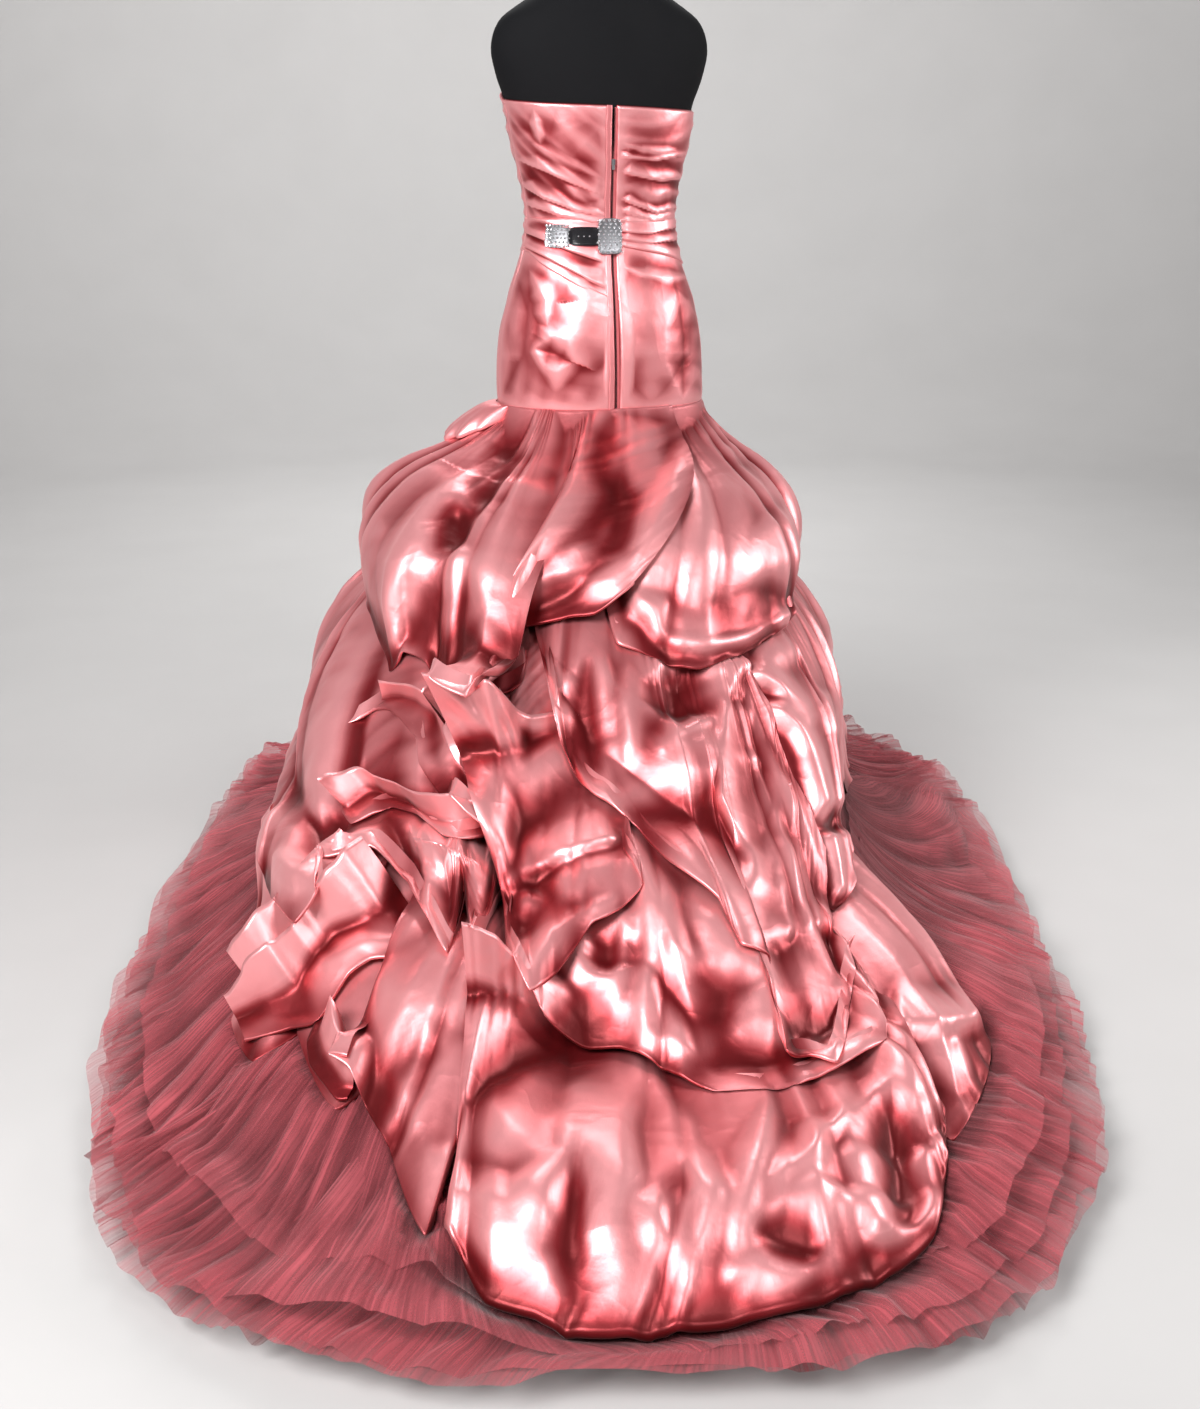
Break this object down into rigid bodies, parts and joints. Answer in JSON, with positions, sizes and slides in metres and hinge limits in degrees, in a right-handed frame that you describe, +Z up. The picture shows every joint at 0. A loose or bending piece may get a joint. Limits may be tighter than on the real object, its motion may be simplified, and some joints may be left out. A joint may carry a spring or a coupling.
{
  "type": "mermaid gown on a limbless dress form",
  "caption": "Strapless satin mermaid gown with picked-up overskirt, tulle petticoat and train, worn by a limbless dress form on a stand.",
  "frame": {"origin": "middle of the underside of the stand's base, on the floor under the wearer", "axes": "+Z up; -Y behind the wearer, where the zip is and the train runs out; +X to the wearer's right"},
  "size_m": [1.572, 2.1332, 1.5663],
  "materials": {
    "satin": "satin",
    "tulle": "matte",
    "zip_tape": "matte",
    "jersey": "matte",
    "black_steel": "satin",
    "silver": "polished",
    "enamel": "gloss"
  },
  "bodies": {
    "gown": {"bodice_back_left": "satin", "bodice_back_right": "satin", "bodice_front": "satin", "waist_drape_left": "satin", "waist_drape_right": "satin", "waist_drape_front": "satin", "hip_back_left": "satin", "hip_back_right": "satin", "hip_front": "satin", "zip_tape": "zip_tape", "zip_slider": "silver", "clasp_plate": "silver", "clasp_strip": "enamel", "clasp_buckle": "silver", "satin_upper_left": "satin", "satin_upper_right": "satin", "satin_swag_left": "satin", "satin_drape_right": "satin", "satin_drape_low": "satin", "satin_cuff": "satin", "satin_side_left": "satin", "satin_side_right": "satin", "satin_petal_right": "satin", "satin_diagonal": "satin", "satin_train": "satin", "satin_front_mid": "satin", "satin_front_low": "satin", "form_torso": "jersey", "form_neck_cap": "black_steel", "form_socket": "black_steel", "stand_pole": "black_steel", "stand_base": "black_steel", "petticoat_back": "tulle", "petticoat_right": "tulle", "petticoat_front": "tulle", "petticoat_left": "tulle", "flounce_back": "tulle", "flounce_right": "tulle", "flounce_front": "tulle", "flounce_left": "tulle"},
    "pull_tab": {"zip_pull_tab": "silver"}
  },
  "joints": [
    {"name": "pull_tab_lift", "type": "hinge", "parent": "gown", "child": "pull_tab", "pos_m": [0, -0.10127, 1.1886], "axis": [-1, 0, 0], "range_deg": [0, 150]}
  ]
}
